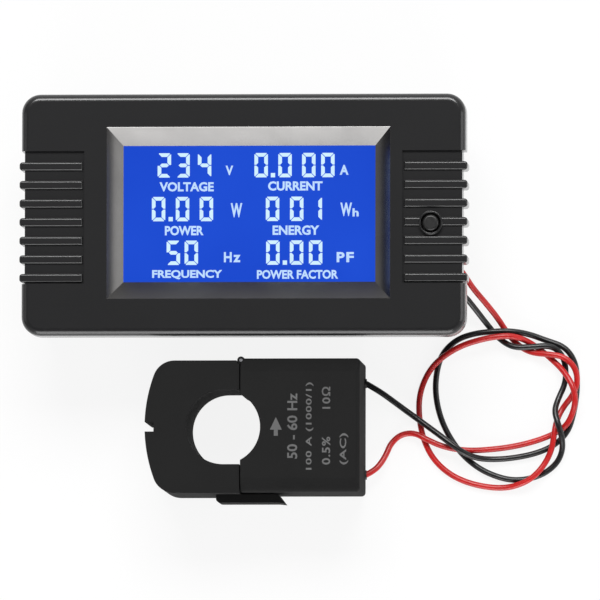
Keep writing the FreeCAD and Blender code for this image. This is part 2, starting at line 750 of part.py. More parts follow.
def ct_back_cover():
    body = new_body("ct_back_cover")
    gap = s.core_gap / 2
    outline = box(room_x + gap, core_y - core_out - gap, s.ct_right_x - s.ct_wall - gap,
                  core_y + core_out + gap)
    add(body, "cover_plate", 0, [outline], s.ct_cover)
    return body


def ct_jaw_case():
    body = new_body("ct_jaw_case")
    outline = box(s.jaw_left_x, jaw_bottom, jaw_face_x, jaw_top)
    add(body, "jaw_slab", s.jaw_below, [outline], s.ct_deep - 2 * s.jaw_below)
    bow_x = s.jaw_left_x + s.jaw_bow
    bow_span = 2 * (s.jaw_bow + s.past)
    bow = [box_about(bow_x, jaw_y, bow_span, bow_span), disc(bow_x, jaw_y, s.jaw_bow)]
    cut(body, "jaw_bow", s.ct_deep, bow, s.ct_deep)
    fillet(body, "jaw_corners", s.jaw_round,
           lambda edge: upright(edge) and not near(edge.CenterOfMass.x, jaw_face_x))
    notch = box(s.jaw_left_x - s.past, jaw_y - s.jaw_notch_high / 2, s.jaw_left_x + s.jaw_notch_deep,
                jaw_y + s.jaw_notch_high / 2)
    cut(body, "end_notch", s.ct_deep, [notch], s.ct_deep)
    cut(body, "jaw_bore", s.ct_deep, [disc(s.bore_x, bore_y, s.bore_round)], s.ct_deep)
    throat = box(s.bore_x, bore_y - s.bore_round, s.part_x, bore_y + s.bore_round)
    cut(body, "jaw_throat", s.ct_deep, [throat], s.ct_deep)
    ring = [disc(s.bore_x, core_y, core_out + s.core_gap),
            disc(s.bore_x, core_y, core_in - s.core_gap)]
    deep = s.core_deep + 2 * s.core_gap
    cut(body, "core_ring_channel", ct_mid_z, ring, deep, both=True)
    channel_top = core_y + core_out + s.core_gap
    channel_low = core_y - core_out - s.core_gap
    arms = [box(s.bore_x, core_y + core_in - s.core_gap, s.part_x, channel_top),
            box(s.bore_x, channel_low, s.part_x, core_y - core_in + s.core_gap)]
    cut(body, "core_arm_channels", ct_mid_z, arms, deep, both=True)
    tongue_top = body_bottom - s.latch_gap
    tongue_low = tongue_top - s.latch_thick
    tongue = [(s.latch_root_x, tongue_low), (s.latch_neck_x, tongue_low),
              (s.latch_tip_x, tongue_low - s.latch_barb), (s.latch_neck_x, tongue_top),
              (s.latch_root_x, tongue_top)]
    add(body, "latch_tongue", ct_mid_z, [tongue], s.latch_wide, both=True)
    root = box(s.latch_root_x, tongue_top - s.latch_thick / 2, jaw_face_x, jaw_bottom + s.latch_thick / 2)
    add(body, "latch_root", ct_mid_z, [root], s.latch_wide, both=True)
    low_corner = s.latch_thick / 2
    fillet(body, "latch_corner", low_corner,
           lambda edge: corner_at(edge, s.latch_root_x, tongue_low))
    knuckle = disc(s.hinge_x, hinge_y, s.knuckle_round)
    relief = disc(s.hinge_x, hinge_y, s.knuckle_round + s.hinge_gap)
    cut(body, "jaw_relief", s.ct_deep, [relief], s.ct_deep)
    web = box(jaw_face_x - s.knuckle_round, channel_top, jaw_face_x, hinge_y)
    add(body, "middle_web", ct_mid_z, [web], s.knuckle_long, both=True)
    add(body, "middle_knuckle", ct_mid_z, [knuckle], s.knuckle_long, both=True)
    cut(body, "jaw_pin_hole", s.ct_deep, [disc(s.hinge_x, hinge_y, s.hinge_pin)], s.ct_deep)
    return body


def ct_hinge_pin():
    body = new_body("ct_hinge_pin")
    rod = disc(s.hinge_x, hinge_y, s.hinge_pin - s.pin_fit)
    add(body, "pin_rod", s.knuckle_end, [rod], s.ct_deep - 2 * s.knuckle_end)
    return body


def ct_jaw_core():
    body = new_body("ct_jaw_core")
    ring = [disc(s.bore_x, core_y, core_out), disc(s.bore_x, core_y, core_in)]
    add(body, "core_ring", ct_mid_z, ring, s.core_deep, both=True)
    reach = core_out + s.past
    beyond = box(s.bore_x, core_y - reach, s.bore_x + reach, core_y + reach)
    cut(body, "core_half", ct_mid_z, [beyond], s.core_deep + s.past, both=True)
    arms = [box(s.bore_x, core_y + core_in, jaw_face_x, core_y + core_out),
            box(s.bore_x, core_y - core_out, jaw_face_x, core_y - core_in)]
    add(body, "core_arms", ct_mid_z, arms, s.core_deep, both=True)
    return body


def ct_body_core():
    body = new_body("ct_body_core")
    outside = box(s.part_x, core_y - core_out, leg_out, core_y + core_out)
    add(body, "core_block", ct_mid_z, [outside], s.core_deep, both=True)
    inside = box(s.part_x - s.past, core_y - core_in, s.leg_x, core_y + core_in)
    cut(body, "core_window", ct_mid_z, [inside], s.core_deep + s.past, both=True)
    return body


def ring_section(grow):
    leg_mid = s.leg_x + s.ct_core_wall / 2
    return box_about(leg_mid, ct_mid_z, s.ct_core_wall + 2 * grow, s.core_deep + 2 * grow)


def ct_bobbin():
    body = new_body("ct_bobbin")
    add(body, "bobbin_tube", -core_y, [ring_section(tube_out)], s.coil_long,
        role="XZ_Plane", both=True)
    for name, shift in (("upper_flange", 1), ("lower_flange", -1)):
        level = -core_y + shift * (s.coil_long / 2 + s.coil_wall / 2)
        add(body, name, level, [ring_section(rim_out)], s.coil_wall, role="XZ_Plane", both=True)
    cut(body, "bobbin_hole", -core_y, [ring_section(s.core_gap / 2)],
        s.coil_long + 2 * (s.coil_wall + s.past), role="XZ_Plane", both=True)
    return body


def ct_winding():
    body = new_body("ct_winding")
    outer = rim_out - s.coil_inset
    add(body, "winding_block", -core_y, [ring_section(outer)], s.coil_long, role="XZ_Plane", both=True)
    fillet(body, "winding_corners", s.coil_round / 2,
           lambda edge: edge.BoundBox.XLength < 1e-4 and edge.BoundBox.ZLength < 1e-4)
    cut(body, "winding_hole", -core_y, [ring_section(tube_out)], s.coil_long + s.past,
        role="XZ_Plane", both=True)
    return body


def burden_resistor():
    body = new_body("burden_resistor")
    x = (room_x + bobbin_left) / 2
    rod = disc(x, s.ct_cover + s.resistor_round, s.resistor_round)
    add(body, "burden_rod", -(core_y + s.burden_up), [rod], s.burden_long, role="XZ_Plane", both=True)
    return body


def lead_bushings():
    body = new_body("lead_bushings")
    rows = [disc(y, s.exit_z, s.bushing_round - s.core_gap / 4) for y in exit_rows]
    inner_x = s.ct_right_x + s.bushing_proud - s.bushing_long
    add(body, "bushing_rods", inner_x, rows, s.bushing_long, role="YZ_Plane")
    return body


# Leads. Each route is a list of corners chosen by hand: x, y, z in millimetres. The
# ends are laid to the terminals and to the bushings of the transformer.
red_route = [
    (38.7, -8.62, 6.1), (40.7, -8.7, 6.1), (42.5, -9.9, 6), (43.8, -11.8, 5.2), (45, -13.7, 4.3),
    (47.6, -16.7, 2.9), (49.9, -19.6, 1.35), (51.9, -22.8, 0.65), (54.2, -25.2, 0.65),
    (56.7, -26.5, 1.3), (60, -26.8, 2.3), (63.2, -27.3, 2.6), (65.4, -29.4, 2.5), (66, -32.2, 2.3),
    (65, -35, 2), (63, -37.3, 0.8), (61.7, -39.9, 1.7), (61.2, -42.8, 2.3), (60.8, -45.6, 1.9),
    (59.7, -48.2, 1.6), (57.9, -50.7, 2), (55.4, -52.6, 1.9), (51.1, -53.8, 0.65),
    (45.3, -53.1, 0.65), (40.5, -51.2, 0.65), (36.9, -48, 0.65), (34.8, -43.9, 0.65),
    (33.9, -39.1, 0.65), (34, -34.7, 0.65), (35.6, -30.6, 1.1), (38.1, -27.7, 2.1),
    (42.3, -25.1, 2.5), (47, -23.7, 3), (51.1, -23.1, 3.1), (53.7, -23.3, 2.4), (56, -24.2, 0.9),
    (58.4, -25.8, 0.65), (60.6, -27.7, 0.65), (62.9, -29.9, 2), (65, -33.1, 3.6),
    (65.6, -36.1, 3.4), (64.9, -38.8, 2), (63.6, -41.2, 1.8), (61.3, -42.7, 0.65),
    (57.5, -44.2, 0.65), (53, -45.3, 0.65), (48.4, -45.9, 0.8), (43.7, -46.2, 1.9),
    (39.2, -45.5, 2.1), (35.7, -44, 2.25), (33.1, -42.5, 1.5), (30.3, -42.8, 0.85),
    (28.3, -44.6, 0.9), (27.4, -46.9, 1.6), (26.4, -48.7, 2.4), (25.1, -50.2, 3),
    (23.4, -51.1, 3.2),
]
black_route = [
    (38.7, -13.7, 6.1), (41.2, -13.9, 6), (43.2, -15, 5.1), (45.5, -17.9, 3), (47.8, -20.9, 1),
    (50.2, -23.8, 0.8), (53.1, -25.5, 2), (56.8, -25.3, 2.15), (60.4, -25, 1.9), (62.6, -26.5, 1.1),
    (63.5, -29.2, 0.65), (63.4, -32.6, 0.65), (62, -35.6, 1.1), (61.2, -38.2, 2.4),
    (62.1, -41, 3.4), (62.8, -43.4, 2.7), (62.9, -46.1, 1.3), (61.6, -48.9, 0.65),
    (58.3, -51.3, 0.65), (53.1, -52.3, 0.65), (47.9, -50.8, 0.65), (43.9, -48.2, 0.65),
    (40.7, -44.5, 0.65), (38.3, -39.8, 0.65), (37.2, -34.8, 0.65), (37.4, -30.4, 0.65),
    (38.5, -26.6, 0.65), (41.4, -23.8, 1.3), (45, -22.6, 2.1), (48.9, -22.2, 2.35),
    (52.6, -22.1, 2.05), (56.2, -22.7, 1), (59.4, -23.9, 0.65), (63.3, -25.2, 0.65),
    (65.4, -28.2, 0.65), (65.8, -32, 0.65), (65.6, -35.4, 0.65), (65, -38.9, 0.65),
    (63.9, -42.4, 0.65), (61.2, -45.1, 0.65), (57.5, -46.7, 0.65), (53, -47.6, 0.65),
    (49, -47.9, 0.65), (45.6, -47.7, 1.7), (43, -46.6, 3.2), (40.7, -45, 3.5), (38.1, -43, 3),
    (35, -40.7, 2.1), (31.8, -38.4, 1.9), (28.7, -36.1, 2.2), (25.9, -34.1, 3), (23.4, -32.7, 3.2),
]


arc_share = 0.45  # share of the shorter run that an arc takes on its side


def lead_path(corners):
    runs = [(after - before).Length for before, after in zip(corners, corners[1:])]
    edges = []
    radii = []
    last = corners[0]
    for turn in range(1, len(corners) - 1):
        into = (corners[turn] - corners[turn - 1]).normalize()
        away = (corners[turn + 1] - corners[turn]).normalize()
        angle = into.getAngle(away)
        reach = arc_share * min(runs[turn - 1], runs[turn])
        radius = reach / math.tan(angle / 2)
        start = corners[turn] - into * reach
        end = corners[turn] + away * reach
        inward = (away - into).normalize()
        rise = radius / math.cos(angle / 2) - radius
        edges.append(Part.LineSegment(last, start).toShape())
        edges.append(Part.Arc(start, corners[turn] + inward * rise, end).toShape())
        radii.append(radius)
        last = end
    edges.append(Part.LineSegment(last, corners[-1]).toShape())
    return Part.Wire(edges), radii


def lead(name, route, terminal_y, exit_y):
    corners = [Vector(*corner) for corner in route]
    start = Vector(terminal_face.value + s.lead_start.value, terminal_y.value, s.terminal_wire_z.value)
    end = Vector(s.ct_right_x.value + s.bushing_proud.value, exit_y.value, s.exit_z.value)
    corners = [start] + corners[1:-1] + [end]
    path, radii = lead_path(corners)
    first_way = corners[1] - corners[0]
    ring = Part.Wire(Part.makeCircle(s.lead_round.value, corners[0], first_way))
    tube = path.makePipeShell([ring], True, False)
    section = math.pi * s.lead_round.value ** 2
    print(name, "length", round(path.Length, 1), "tightest radius", round(min(radii), 2),
          "volume over section times length", round(tube.Volume / section / path.Length, 4))
    thing = document.addObject("Part::Feature", name)
    thing.Label = name
    thing.Shape = tube
    thing.Placement = FreeCAD.Placement()
    return thing


def red_lead():
    return lead("red_lead", red_route, terminal_rows[1], exit_rows[1])


def black_lead():
    return lead("black_lead", black_route, terminal_rows[0], exit_rows[0])


pieces = [
    front_bezel, rear_housing, circuit_board, display_glass, display_backlight, display_pins,
    button_cap, button_switch, button_plunger, metering_chip, supply_capacitor, film_capacitor,
    divider_resistors, terminal_block, terminal_screws, case_screws, lead_cores,
    ct_body_case, ct_back_cover, ct_jaw_case, ct_hinge_pin, ct_jaw_core, ct_body_core,
    ct_bobbin, ct_winding, burden_resistor, lead_bushings, red_lead, black_lead,
]
made = [build() for build in pieces]

document.recompute()
for thing in document.Objects:
    if "Invalid" in thing.State or "Error" in thing.State:
        raise RuntimeError("failed: " + thing.Label)
os.makedirs("parts", exist_ok=True)
for thing in made:
    shape = thing.Shape
    if shape.isNull() or not shape.isValid() or not shape.Solids:
        raise RuntimeError("bad shape: " + thing.Label)
    shape.exportStep("parts/%s.step" % thing.Label)
    print(thing.Label, len(shape.Solids), round(shape.Volume, 1), shape.BoundBox)
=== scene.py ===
import json
import math

import bmesh
import bpy
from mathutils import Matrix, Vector


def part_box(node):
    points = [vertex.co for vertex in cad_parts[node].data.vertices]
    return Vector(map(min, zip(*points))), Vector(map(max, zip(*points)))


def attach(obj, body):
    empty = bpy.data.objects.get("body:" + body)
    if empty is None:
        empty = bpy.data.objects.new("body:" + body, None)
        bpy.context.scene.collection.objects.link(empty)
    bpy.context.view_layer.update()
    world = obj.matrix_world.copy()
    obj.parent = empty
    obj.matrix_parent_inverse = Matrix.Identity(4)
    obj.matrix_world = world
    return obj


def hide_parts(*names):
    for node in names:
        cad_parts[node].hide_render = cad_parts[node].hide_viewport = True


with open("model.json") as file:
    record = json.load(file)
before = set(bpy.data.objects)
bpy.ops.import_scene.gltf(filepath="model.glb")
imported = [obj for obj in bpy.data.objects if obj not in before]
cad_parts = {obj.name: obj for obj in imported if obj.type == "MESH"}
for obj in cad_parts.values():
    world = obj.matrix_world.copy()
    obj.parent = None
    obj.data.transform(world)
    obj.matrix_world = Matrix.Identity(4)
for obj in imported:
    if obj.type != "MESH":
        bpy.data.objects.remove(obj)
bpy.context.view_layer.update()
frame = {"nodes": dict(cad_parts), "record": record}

# Digital power meter with a split current transformer and two leads, lying on a pale
# floor and seen from above. Lengths are in millimetres up to the mesh makers, which
# turn them into metres. +X right, +Y to the top of the display, +Z out of it.

MM = 0.001
WELD = 1e-7
METER = "meter"
NODES = frame["nodes"]


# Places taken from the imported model

def node_box(name):
    low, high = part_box(name)
    return [v / MM for v in low], [v / MM for v in high]


GLASS_LOW, GLASS_HIGH = node_box("display_glass")
DISPLAY_TOP = GLASS_HIGH[2]
DISPLAY_X = (GLASS_LOW[0] + GLASS_HIGH[0]) / 2
DISPLAY_Y = (GLASS_LOW[1] + GLASS_HIGH[1]) / 2
CASE_TOP = node_box("ct_body_case")[1][2]

# The part of the display that the window shows
VISIBLE_WIDE = 50.57
VISIBLE_HIGH = 27.42


# Places read off the photograph, in pixels of its 600 by 600 frame

DISPLAY_PIXELS_PER_MM = 5.0
DISPLAY_PIXEL = (249.1, 213.1)
CASE_PIXELS_PER_MM = 5.01
CASE_PIXEL = (243.6, 214.75)


def display_x(pixel):
    return DISPLAY_X + (pixel - DISPLAY_PIXEL[0]) / DISPLAY_PIXELS_PER_MM


def display_y(pixel):
    return DISPLAY_Y - (pixel - DISPLAY_PIXEL[1]) / DISPLAY_PIXELS_PER_MM


def case_x(pixel):
    return (pixel - CASE_PIXEL[0]) / CASE_PIXELS_PER_MM


def case_y(pixel):
    return (CASE_PIXEL[1] - pixel) / CASE_PIXELS_PER_MM


# Node helpers for the materials

def new_material(name):
    material = bpy.data.materials.new(name)
    material.use_nodes = True
    nodes = material.node_tree.nodes
    shader = nodes["Principled BSDF"]
    return material, nodes, material.node_tree.links, shader


def linear(channel):
    channel /= 255
    if channel <= 0.04045:
        return channel / 12.92
    return ((channel + 0.055) / 1.055) ** 2.4


def screen_colour(red, green, blue):
    return (linear(red), linear(green), linear(blue), 1)


def grey(value):
    return (value, value, value, 1)


def shade(colour, factor):
    return (colour[0] * factor, colour[1] * factor, colour[2] * factor, 1)


def object_place(nodes, links, scale=(1, 1, 1)):
    place = nodes.new("ShaderNodeTexCoord")
    mapping = nodes.new("ShaderNodeMapping")
    mapping.inputs["Scale"].default_value = scale
    links.new(place.outputs["Object"], mapping.inputs["Vector"])
    return mapping.outputs["Vector"]


def noise(nodes, links, place, scale, detail):
    texture = nodes.new("ShaderNodeTexNoise")
    texture.inputs["Scale"].default_value = scale
    texture.inputs["Detail"].default_value = detail
    links.new(place, texture.inputs["Vector"])
    return texture.outputs["Fac"]


def ramp(nodes, links, source, stops):
    node = nodes.new("ShaderNodeValToRGB")
    elements = node.color_ramp.elements
    elements[0].position, elements[0].color = stops[0]
    elements[1].position, elements[1].color = stops[-1]
    for position, colour in stops[1:-1]:
        element = elements.new(position)
        element.color = colour
    links.new(source, node.inputs["Fac"])
    return node.outputs["Color"]


def bump(nodes, links, shader, height, strength, distance):
    node = nodes.new("ShaderNodeBump")
    node.inputs["Strength"].default_value = strength
    node.inputs["Distance"].default_value = distance
    links.new(height, node.inputs["Height"])
    links.new(node.outputs["Normal"], shader.inputs["Normal"])


def worn_edges(nodes, links, colour, edge_colour, amount):
    """Lightens convex edges, as handling does on moulded plastic."""
    geometry = nodes.new("ShaderNodeNewGeometry")
    edge = ramp(nodes, links, geometry.outputs["Pointiness"],
                [(0.52, grey(0.0)), (0.60, grey(amount))])
    mix = nodes.new("ShaderNodeMix")
    mix.data_type = "RGBA"
    links.new(edge, mix.inputs["Factor"])
    links.new(colour, mix.inputs["A"])
    mix.inputs["B"].default_value = edge_colour
    return mix.outputs["Result"]


HANDLED = 2.2
COAT_ROUGHNESS = 0.19
GRAIN_DEPTH = 0.00001


def moulded(name, colour, rough=0.5, grain=2600.0, spread=0.06, specular=0.5, coat=0.0, edge=0.2):
    """Moulded plastic: fine spark-eroded grain, faint flow clouds and paler handled edges."""
    material, nodes, links, shader = new_material(name)
    place = object_place(nodes, links)
    clouds = noise(nodes, links, place, scale=90.0, detail=4.0)
    tone = ramp(nodes, links, clouds,
                [(0.3, shade(colour, 1 - spread)), (0.7, shade(colour, 1 + spread))])
    tone = worn_edges(nodes, links, tone, shade(colour, HANDLED), edge)
    links.new(tone, shader.inputs["Base Color"])
    fine = noise(nodes, links, place, scale=grain, detail=2.0)
    roughness = ramp(nodes, links, fine, [(0.3, grey(rough - 0.05)), (0.7, grey(rough + 0.07))])
    links.new(roughness, shader.inputs["Roughness"])
    bump(nodes, links, shader, fine, strength=0.25, distance=GRAIN_DEPTH)
    shader.inputs["Specular IOR Level"].default_value = specular
    shader.inputs["Coat Weight"].default_value = coat
    shader.inputs["Coat Roughness"].default_value = COAT_ROUGHNESS
    return material


BRUSH_LINES = (900, 900, 60)


def brushed(name, colour, rough=0.35):
    """Plated or drawn metal with fine lines and small dull patches."""
    material, nodes, links, shader = new_material(name)
    place = object_place(nodes, links, BRUSH_LINES)
    streaks = noise(nodes, links, place, scale=4.0, detail=3.0)
    tone = ramp(nodes, links, streaks, [(0.35, shade(colour, 0.8)), (0.65, shade(colour, 1.1))])
    links.new(tone, shader.inputs["Base Color"])
    roughness = ramp(nodes, links, streaks, [(0.3, grey(rough - 0.08)), (0.7, grey(rough + 0.1))])
    links.new(roughness, shader.inputs["Roughness"])
    shader.inputs["Metallic"].default_value = 1.0
    bump(nodes, links, shader, streaks, strength=0.3, distance=0.00002)
    return material


def board_material():
    """Green solder mask over copper tracks."""
    material, nodes, links, shader = new_material("board_laminate")
    place = object_place(nodes, links)
    tracks = nodes.new("ShaderNodeTexBrick")
    tracks.inputs["Scale"].default_value = 260.0
    tracks.inputs["Color1"].default_value = (0.012, 0.075, 0.03, 1)
    tracks.inputs["Color2"].default_value = (0.01, 0.06, 0.025, 1)
    tracks.inputs["Mortar"].default_value = (0.03, 0.13, 0.05, 1)
    tracks.inputs["Mortar Size"].default_value = 0.03
    links.new(place, tracks.inputs["Vector"])
    links.new(tracks.outputs["Color"], shader.inputs["Base Color"])
    shader.inputs["Roughness"].default_value = 0.35
    bump(nodes, links, shader, tracks.outputs["Fac"], strength=0.3, distance=0.00003)
    return material


def winding_material():
    """Layers of enamelled wire, wound round the bobbin's long axis."""
    material, nodes, links, shader = new_material("copper_winding")
    place = object_place(nodes, links)
    turns = nodes.new("ShaderNodeTexWave")
    turns.bands_direction = "Y"
    turns.inputs["Scale"].default_value = 700.0
    turns.inputs["Distortion"].default_value = 0.4
    links.new(place, turns.inputs["Vector"])
    tone = ramp(nodes, links, turns.outputs["Fac"],
                [(0.2, (0.16, 0.045, 0.012, 1)), (0.8, (0.55, 0.2, 0.06, 1))])
    links.new(tone, shader.inputs["Base Color"])
    shader.inputs["Metallic"].default_value = 0.8
    shader.inputs["Roughness"].default_value = 0.3
    bump(nodes, links, shader, turns.outputs["Fac"], strength=0.7, distance=0.00008)
    return material


def display_material():
    """Lit blue display: a backlight with faint clouds under a satin film."""
    material, nodes, links, shader = new_material("display_face")
    place = object_place(nodes, links)
    glow = noise(nodes, links, place, scale=40.0, detail=2.0)
    blue = ramp(nodes, links, glow,
                [(0.3, screen_colour(20, 68, 203)), (0.7, screen_colour(26, 76, 212))])
    links.new(blue, shader.inputs["Emission Color"])
    shader.inputs["Emission Strength"].default_value = 0.92
    shader.inputs["Base Color"].default_value = (0.004, 0.012, 0.06, 1)
    shader.inputs["Roughness"].default_value = 0.24
    shader.inputs["Specular IOR Level"].default_value = 0.12
    return material


def lit_material(name, colour, strength):
    """Display figures where the backlight shows through."""
    material, nodes, links, shader = new_material(name)
    place = object_place(nodes, links)
    glow = noise(nodes, links, place, scale=300.0, detail=2.0)
    tone = ramp(nodes, links, glow, [(0.3, shade(colour, 0.93)), (0.7, shade(colour, 1.04))])
    links.new(tone, shader.inputs["Emission Color"])
    shader.inputs["Emission Strength"].default_value = strength
    shader.inputs["Base Color"].default_value = shade(colour, 0.1)
    shader.inputs["Roughness"].default_value = 0.3
    return material


def wire_material(name, colour, dark):
    """Extruded insulation: satin, with a fine grain and dusty patches."""
    material, nodes, links, shader = new_material(name)
    place = object_place(nodes, links)
    patches = noise(nodes, links, place, scale=260.0, detail=3.0)
    tone = ramp(nodes, links, patches, [(0.3, dark), (0.7, colour)])
    links.new(tone, shader.inputs["Base Color"])
    fine = noise(nodes, links, place, scale=3000.0, detail=2.0)
    roughness = ramp(nodes, links, fine, [(0.3, grey(0.28)), (0.7, grey(0.4))])
    links.new(roughness, shader.inputs["Roughness"])
    bump(nodes, links, shader, fine, strength=0.25, distance=GRAIN_DEPTH)
    shader.inputs["Specular IOR Level"].default_value = 0.6
    return material


BEZEL_GREY = screen_colour(22, 22, 23)
CT_GREY = screen_colour(31, 31, 31)
materials = {
    "bezel_plastic": moulded("bezel_plastic", BEZEL_GREY, 0.55, specular=0.2, coat=1.0, edge=0.04),
    "housing_plastic": moulded("housing_plastic", screen_colour(36, 36, 37), 0.5),
    "board_laminate": board_material(),
    "display_face": display_material(),
    "light_plate": moulded("light_plate", (0.75, 0.78, 0.82, 1), 0.4),
    "plated_pin": brushed("plated_pin", (0.75, 0.66, 0.4, 1)),
    "button_plastic": moulded("button_plastic", screen_colour(31, 31, 31), 0.38, edge=0.1),
    "switch_plastic": moulded("switch_plastic", (0.02, 0.02, 0.02, 1), 0.5),
    "plunger_plastic": moulded("plunger_plastic", (0.35, 0.02, 0.015, 1), 0.45),
    "chip_resin": moulded("chip_resin", (0.012, 0.012, 0.014, 1), 0.6),
    "capacitor_can": brushed("capacitor_can", (0.2, 0.22, 0.3, 1), 0.4),
    "capacitor_box": moulded("capacitor_box", (0.55, 0.36, 0.03, 1), 0.35),
    "resistor_coat": moulded("resistor_coat", (0.12, 0.24, 0.36, 1), 0.4),
    "terminal_plastic": moulded("terminal_plastic", (0.015, 0.11, 0.04, 1), 0.45),
    "screw_steel": brushed("screw_steel", (0.55, 0.55, 0.58, 1)),
    "copper_strand": brushed("copper_strand", (0.72, 0.45, 0.28, 1)),
    "ct_plastic": moulded("ct_plastic", CT_GREY, 0.85, grain=3200.0, specular=0.1, edge=0.1),
    "ct_cover_plastic": moulded("ct_cover_plastic", screen_colour(34, 34, 34), 0.4),
    "ferrite": moulded("ferrite", (0.035, 0.035, 0.038, 1), 0.35, spread=0.3),
    "bobbin_plastic": moulded("bobbin_plastic", (0.6, 0.57, 0.48, 1), 0.45),
    "copper_winding": winding_material(),
    "bushing_rubber": moulded("bushing_rubber", screen_colour(28, 28, 28), 0.55),
    "red_insulation": wire_material("red_insulation", screen_colour(202, 30, 29),
                                    screen_colour(180, 21, 21)),
    "black_insulation": wire_material("black_insulation", screen_colour(21, 21, 22),
                                      screen_colour(15, 15, 16)),
}
digit_light = lit_material("digit_light", screen_colour(205, 235, 255), 0.95)
word_light = lit_material("word_light", screen_colour(190, 220, 255), 0.92)


def paint_nodes():
    """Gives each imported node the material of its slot."""
    for part in frame["record"]["subparts"]:
        mesh = NODES[part["node"]].data
        mesh.materials.clear()
        mesh.materials.append(materials[part["material_slot"]])


# Flat shapes laid on a surface

def to_object(name, mesh, material, body):
    """Puts a mesh into the scene, on its body and with its slot."""
    thing = bpy.data.objects.new(name, mesh)
    bpy.context.scene.collection.objects.link(thing)
    mesh.materials.clear()
    mesh.materials.append(material)
    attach(thing, body)


def slabs(name, outlines, low, high):
    """Closed thin slabs over outlines given in millimetres, counted anticlockwise."""
    shape = bmesh.new()
    for outline in outlines:
        under = [shape.verts.new((x * MM, y * MM, low * MM)) for x, y in outline]
        over = [shape.verts.new((x * MM, y * MM, high * MM)) for x, y in outline]
        shape.faces.new(under[::-1])
        shape.faces.new(over)
        count = len(outline)
        for turn in range(count):
            after = (turn + 1) % count
            shape.faces.new((under[turn], under[after], over[after], over[turn]))
    bmesh.ops.recalc_face_normals(shape, faces=shape.faces)
    mesh = bpy.data.meshes.new(name)
    shape.to_mesh(mesh)
    shape.free()
    return mesh


# Display figures

SEGMENTS = {"0": "abcdef", "1": "bc", "2": "abged", "3": "abgcd", "4": "fgbc", "5": "afgcd"}
DIGIT_WIDE = 2.7
DIGIT_HIGH = 4.88
SEGMENT_THICK = 0.74
SEGMENT_GAP = 0.09
CHAMFER = 0.17


def segment_shapes():
    """The seven segments of a figure with mitred ends, anticlockwise, from its lower left corner."""
    wide, high, thick, gap = DIGIT_WIDE, DIGIT_HIGH, SEGMENT_THICK, SEGMENT_GAP
    middle = high / 2
    half = thick / 2
    clip = gap + CHAMFER
    foot = [(clip, 0), (wide - clip, 0), (wide - clip, CHAMFER), (wide - thick - gap, thick),
            (thick + gap, thick), (clip, CHAMFER)]
    left_low = [(0, clip), (CHAMFER, clip), (thick, thick + gap), (thick, middle - half - gap),
                (half, middle - gap), (0, middle - gap)]
    centre = [(half + gap, middle), (thick + gap, middle - half),
              (wide - thick - gap, middle - half), (wide - half - gap, middle),
              (wide - thick - gap, middle + half), (thick + gap, middle + half)]
    top = [(x, high - y) for x, y in foot[::-1]]
    left_high = [(x, high - y) for x, y in left_low[::-1]]
    right_low = [(wide - x, y) for x, y in left_low[::-1]]
    right_high = [(wide - x, high - y) for x, y in left_low]
    return {"a": top, "b": right_high, "c": right_low, "d": foot,
            "e": left_low, "f": left_high, "g": centre}


def figure(digit, left, low):
    """The lit segments of one figure, from its lower left corner."""
    shapes = segment_shapes()
    return [[(left + x, low + y) for x, y in shapes[letter]] for letter in SEGMENTS[digit]]


# Each reading: the pixel of its foot, the left pixels with their figures, the middle pixels of
# its decimal points.
READINGS = [
    (176.6, [(157.1, "2"), (175.8, "3"), (197.4, "4")], []),
    (176.6, [(254.1, "0"), (278.0, "0"), (301.8, "0"), (320.9, "0")], [272.7]),
    (220.4, [(151.4, "0"), (175.4, "0"), (199.3, "0")], [170.3]),
    (220.4, [(265.6, "0"), (289.8, "0"), (308.4, "1")], []),
    (264.2, [(166.3, "5"), (184.3, "0")], []),
    (264.2, [(266.0, "0"), (289.7, "0"), (308.8, "0")], [284.8]),
]
POINT_SIDE = 0.86
FIGURE_LIFT = 0.04


def display_figures():
    outlines = []
    for foot, figures, points in READINGS:
        low = display_y(foot)
        for left, digit in figures:
            outlines += figure(digit, display_x(left), low)
        for pixel in points:
            left = display_x(pixel) - POINT_SIDE / 2
            right = left + POINT_SIDE
            high = low + POINT_SIDE
            outlines.append([(left, low), (right, low), (right, high), (left, high)])
    mesh = slabs("display_figures", outlines, DISPLAY_TOP, DISPLAY_TOP + FIGURE_LIFT)
    to_object("display_figures", mesh, digit_light, METER)


# Words: text, left pixel, right pixel, foot pixel, cap height in pixels
WORDS = [
    ("VOLTAGE", 159.0, 213.4, 190.6, 9.4), ("CURRENT", 267.8, 322.4, 190.0, 9.4),
    ("POWER", 164.5, 203.3, 234.6, 9.6), ("ENERGY", 272.4, 319.3, 234.4, 9.6),
    ("FREQUENCY", 151.8, 222.1, 278.6, 9.4), ("POWER FACTOR", 256.8, 338.2, 278.4, 9.0),
    ("V", 225.2, 232.8, 174.4, 9.6), ("A", 339.5, 348.4, 174.3, 10.0),
    ("W", 230.4, 242.0, 216.6, 14.3), ("W", 340.2, 351.9, 215.6, 13.5),
    ("h", 352.4, 358.6, 216.0, 8.2),
    ("H", 223.7, 231.6, 261.6, 10.2), ("z", 233.0, 240.4, 261.6, 7.4),
    ("P", 336.6, 344.6, 261.8, 10.2), ("F", 346.3, 353.8, 261.8, 10.2),
]
WORD_LIFT = 0.03
WORD_BOLD = 0.035
LETTER_THICK = 0.1


def text_mesh(text, bold, spread):
    """A word as a closed mesh, thickened by bold and with letters spread apart."""
    curve = bpy.data.curves.new("word", "FONT")
    curve.body = text
    curve.size = 1.0
    curve.offset = bold
    curve.space_character = spread
    curve.extrude = LETTER_THICK / 2
    curve.resolution_u = 3
    thing = bpy.data.objects.new("word", curve)
    bpy.context.scene.collection.objects.link(thing)
    bpy.context.view_layer.update()
    graph = bpy.context.evaluated_depsgraph_get()
    mesh = bpy.data.meshes.new_from_object(thing.evaluated_get(graph))
    bpy.data.objects.remove(thing)
    bpy.data.curves.remove(curve)
    return mesh


